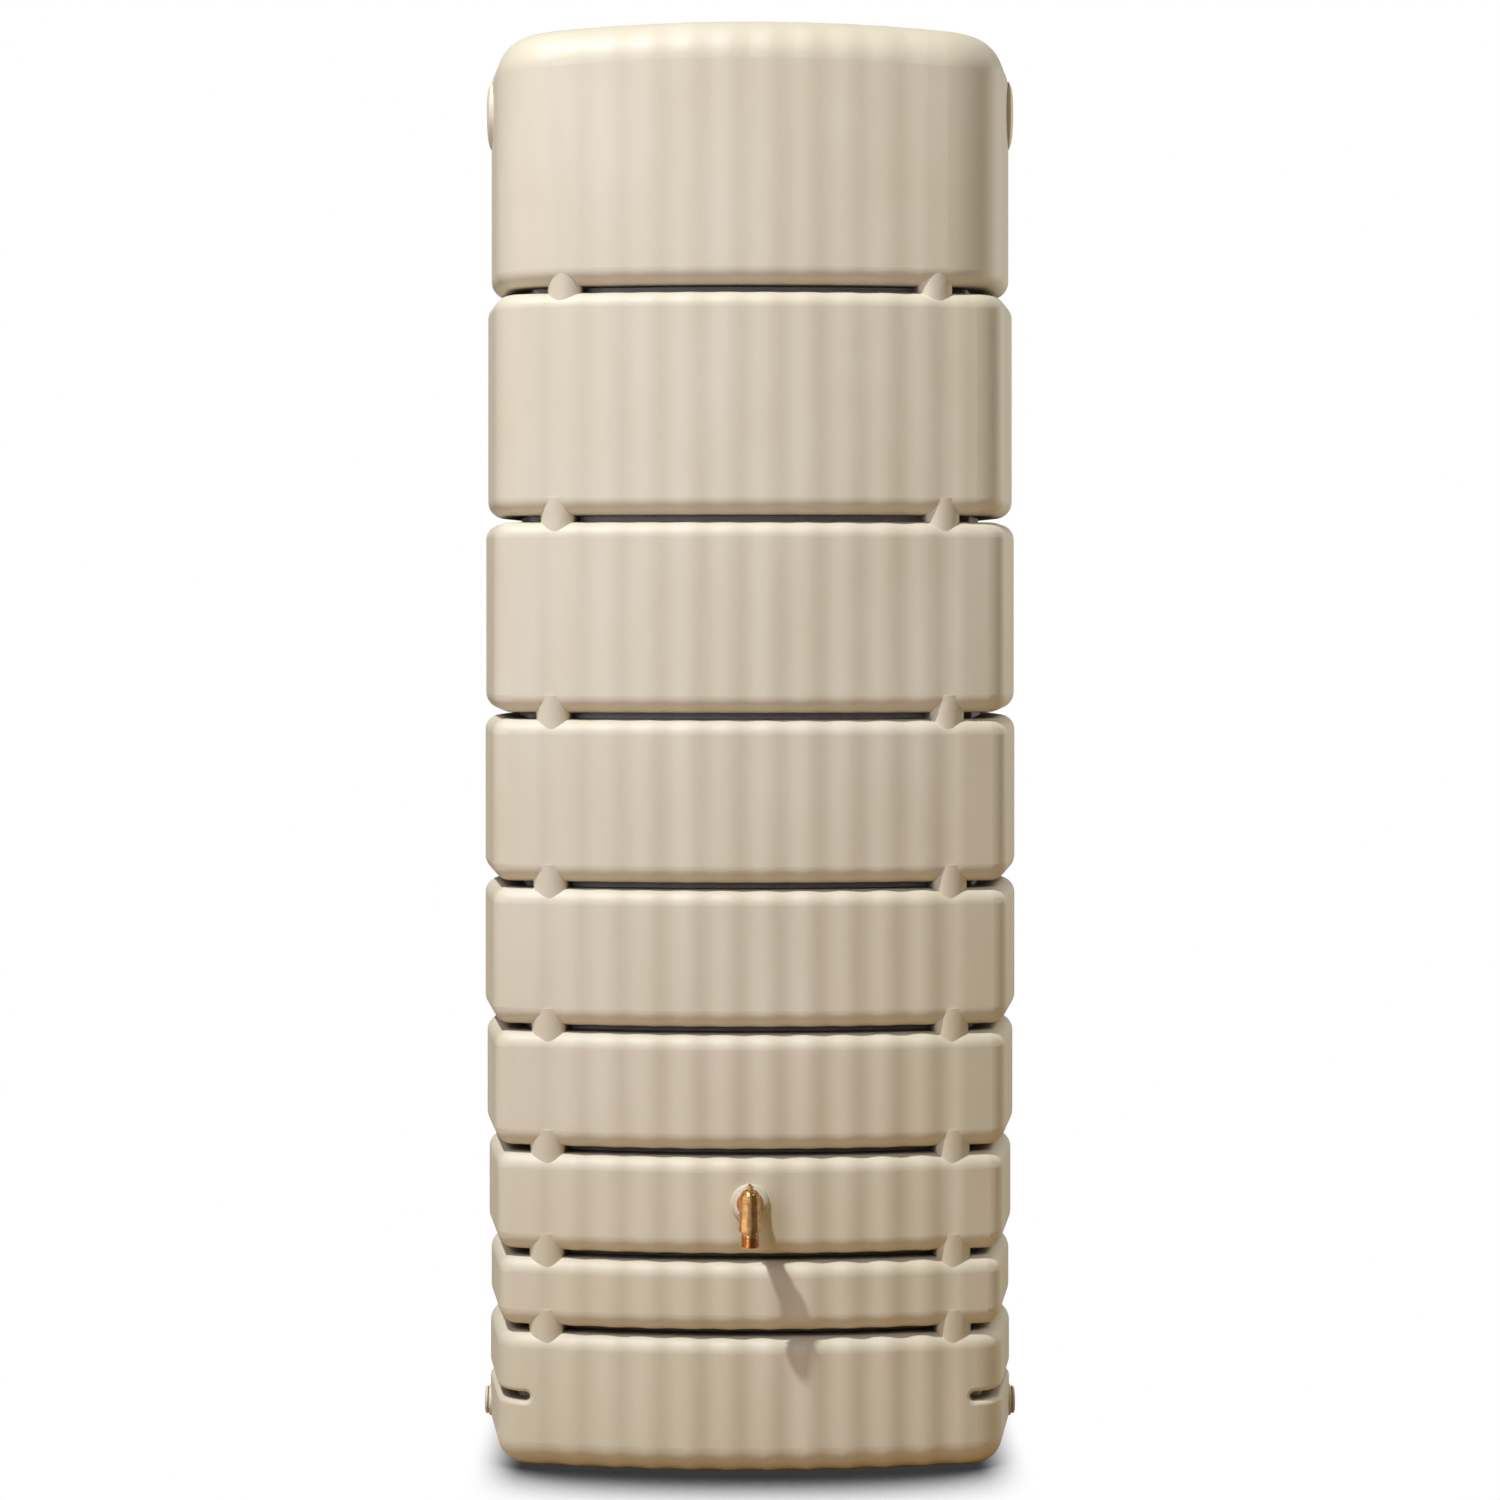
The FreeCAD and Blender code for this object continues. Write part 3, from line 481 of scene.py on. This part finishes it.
def white_ground(name):
    """White to the eye with a soft contact shadow, and plain pale paint to the other light."""
    material = bpy.data.materials.new(name)
    material.use_nodes = True
    tree = material.node_tree
    tree.nodes.clear()
    paint = add_node(tree, "ShaderNodeBsdfDiffuse", Color=linear("A98A57"))
    # Painted shadow: the floor darkens where little sky is open, near the object.
    nearness = add_node(tree, "ShaderNodeAmbientOcclusion", None, {"samples": 16}, Distance=shadow_pool_reach)
    open_sky = add_node(tree, "ShaderNodeMapRange", {"Value": nearness.outputs["AO"]},
                        {"interpolation_type": "SMOOTHSTEP"}, From_Min=0.5, From_Max=0.97)
    falloff = add_node(tree, "ShaderNodeMath", {0: open_sky.outputs["Result"]}, {"operation": "POWER"})
    falloff.inputs[1].default_value = shadow_pool_curve
    shade = add_node(tree, "ShaderNodeMapRange", {"Value": falloff.outputs["Value"]},
                     To_Min=shadow_pool_darkest, To_Max=1.0)
    # The painted shadow fades out beside the foot by the distance from the middle.
    place = add_node(tree, "ShaderNodeTexCoord").outputs["Object"]
    parts = add_node(tree, "ShaderNodeSeparateXYZ", {"Vector": place})
    aside = add_node(tree, "ShaderNodeMath", {0: parts.outputs["X"]}, {"operation": "ABSOLUTE"})
    beside = add_node(tree, "ShaderNodeMapRange", {"Value": aside.outputs["Value"]},
                      {"interpolation_type": "SMOOTHSTEP"},
                      From_Min=shadow_pool_fade_start, From_Max=shadow_pool_fade_end)
    tone = add_node(tree, "ShaderNodeMapRange",
                    {"Value": beside.outputs["Result"], "To Min": shade.outputs["Result"]}, To_Max=1.0)
    rays = add_node(tree, "ShaderNodeLightPath")
    around = add_node(tree, "ShaderNodeValToRGB", {"Fac": bearing_share(tree, parts)})
    paint_bearings(around.color_ramp)
    mirrored = add_node(tree, "ShaderNodeMixRGB",
                        {"Fac": rays.outputs["Is Glossy Ray"], "Color2": around.outputs["Color"]},
                        Color1=linear("FFFFFF"))
    lit = add_node(tree, "ShaderNodeMixRGB",
                   {"Color1": tone.outputs["Result"], "Color2": mirrored.outputs["Color"]},
                   {"blend_type": "MULTIPLY"}, Fac=1.0)
    seen = add_node(tree, "ShaderNodeEmission", {"Color": lit.outputs["Color"]}, Strength=1.0)
    direct = add_node(tree, "ShaderNodeMath",
                      {0: rays.outputs["Is Camera Ray"], 1: rays.outputs["Is Glossy Ray"]},
                      {"operation": "MAXIMUM"})
    through = add_node(tree, "ShaderNodeMath",
                       {0: direct.outputs["Value"], 1: rays.outputs["Is Transmission Ray"]},
                       {"operation": "MAXIMUM"})
    mix = add_node(tree, "ShaderNodeMixShader",
                   {"Fac": through.outputs["Value"], 1: paint.outputs["BSDF"], 2: seen.outputs["Emission"]})
    output = add_node(tree, "ShaderNodeOutputMaterial")
    tree.links.new(mix.outputs["Shader"], output.inputs["Surface"])
    return material


bpy.ops.object.select_all(action="DESELECT")
bpy.ops.mesh.primitive_plane_add(size=floor_size, location=(0.0, 0.0, 0.0))
floor = bpy.context.object
floor.name = "studio_floor"
floor.data.materials.append(white_ground("pale_studio_floor"))
print("floor laid")

# %% [markdown]
# Light
#
# A small hard key lamp stands high at the upper left in front of the tank: it draws the
# slanting shadow of the tap and the bright line along every upper lip.
# A soft box near the left front, at three quarters of the tank's height, gives the broad cool light
# of the upper bands. A high panel at the right lifts the far corner, and one at the right
# behind it lights the side wall.

# %% Lamps


def aim(thing, target):
    """Turns a lamp so that it shines at the target."""
    direction = [there - here for there, here in zip(target, thing.location)]
    flat = math.hypot(direction[0], direction[1])
    thing.rotation_euler = (math.atan2(flat, -direction[2]), 0.0, math.atan2(-direction[0], direction[1]))


def lamp(name, place, target, power, colour, width, height, shape="RECTANGLE"):
    """One area lamp of the studio; a disk lamp uses the width alone."""
    data = bpy.data.lights.new(name, "AREA")
    data.shape = shape
    data.size = width
    if shape == "RECTANGLE":
        data.size_y = height
    data.energy = power
    data.color = colour
    thing = bpy.data.objects.new(name, data)
    bpy.context.scene.collection.objects.link(thing)
    thing.location = place
    aim(thing, target)
    return thing


tap_point = (0.0, -0.258, 0.38)
key_way = (-0.342, -0.337, 0.877)
key_distance = 8.0
key_place = tuple(point + key_distance * step for point, step in zip(tap_point, key_way))
cool = (0.96, 1.0, 1.09)
sky_blue = (0.93, 1.0, 1.48)
warm = (1.0, 0.95, 0.86)
plain_white = (1.0, 1.0, 1.0)
key_lamp = lamp("key_lamp", key_place, (0.0, -0.1, 1.0), 555.0, cool, 0.3, 0.3, "DISK")
left_box = lamp("left_soft_box", (-1.2, -2.5, 1.6), (-0.1, 0.0, 1.5), 20.0, sky_blue, 1.1, 1.3)
right_box = lamp("right_high_panel", (3.0, -2.8, 3.6), (0.0, 0.0, 1.7), 13.0, warm, 1.6, 1.6)
side_panel = lamp("right_side_panel", (3.2, 1.8, 2.0), (0.0, 0.0, 1.5), 56.0, plain_white, 1.6, 2.6)
print("lamps:", key_lamp.name, left_box.name, right_box.name, side_panel.name)

# %% [markdown]
# The room
#
# The room is white where the camera looks past the object, dim and warm where it lights
# the object, and painted with the list of bearings where the gloss mirrors it.

# %% The room
room_light = 0.15
room_warmth = (1.0, 0.91, 0.76, 1.0)
room_mirror = 0.6
world = bpy.data.worlds.new("pale_room")
bpy.context.scene.world = world
world.use_nodes = True
room = world.node_tree
room.nodes.clear()
way = add_node(room, "ShaderNodeTexCoord").outputs["Generated"]
way_parts = add_node(room, "ShaderNodeSeparateXYZ", {"Vector": way})
walls = add_node(room, "ShaderNodeValToRGB", {"Fac": bearing_share(room, way_parts)})
paint_bearings(walls.color_ramp)
mirror_room = add_node(room, "ShaderNodeBackground", {"Color": walls.outputs["Color"]},
                       Strength=room_mirror)
dim_room = add_node(room, "ShaderNodeBackground", Color=room_warmth, Strength=room_light)
white_room = add_node(room, "ShaderNodeBackground", Color=linear("FFFFFF"), Strength=1.0)
rays = add_node(room, "ShaderNodeLightPath")
seen_white = add_node(room, "ShaderNodeMath",
                      {0: rays.outputs["Is Camera Ray"], 1: rays.outputs["Is Transmission Ray"]},
                      {"operation": "MAXIMUM"})
mirrored = add_node(room, "ShaderNodeMixShader",
                    {"Fac": rays.outputs["Is Glossy Ray"], 1: dim_room.outputs["Background"],
                     2: mirror_room.outputs["Background"]})
blend = add_node(room, "ShaderNodeMixShader",
                 {"Fac": seen_white.outputs["Value"], 1: mirrored.outputs["Shader"],
                  2: white_room.outputs["Background"]})
room_output = add_node(room, "ShaderNodeOutputWorld")
room.links.new(blend.outputs["Shader"], room_output.inputs["Surface"])
print("room strength:", room_light, "mirrored:", room_mirror)

# %% [markdown]
# The camera
#
# The photographer stood about 4.6 m away with a long lens at chest height and kept the
# camera level, so the upright edges stay upright; the lens is shifted a little instead.

# %% Camera
view = bpy.data.cameras.new("photo_camera")
view.sensor_width = 36.0
view.lens = 78.6
view.shift_y = -0.1
camera = bpy.data.objects.new("photo_camera", view)
bpy.context.scene.collection.objects.link(camera)
camera.location = (0.0, -4.828, 1.241)
camera.rotation_euler = (math.radians(90.0), 0.0, 0.0)
bpy.context.scene.camera = camera
bpy.context.scene.view_settings.view_transform = "Standard"
print("camera height:", camera.location.z)
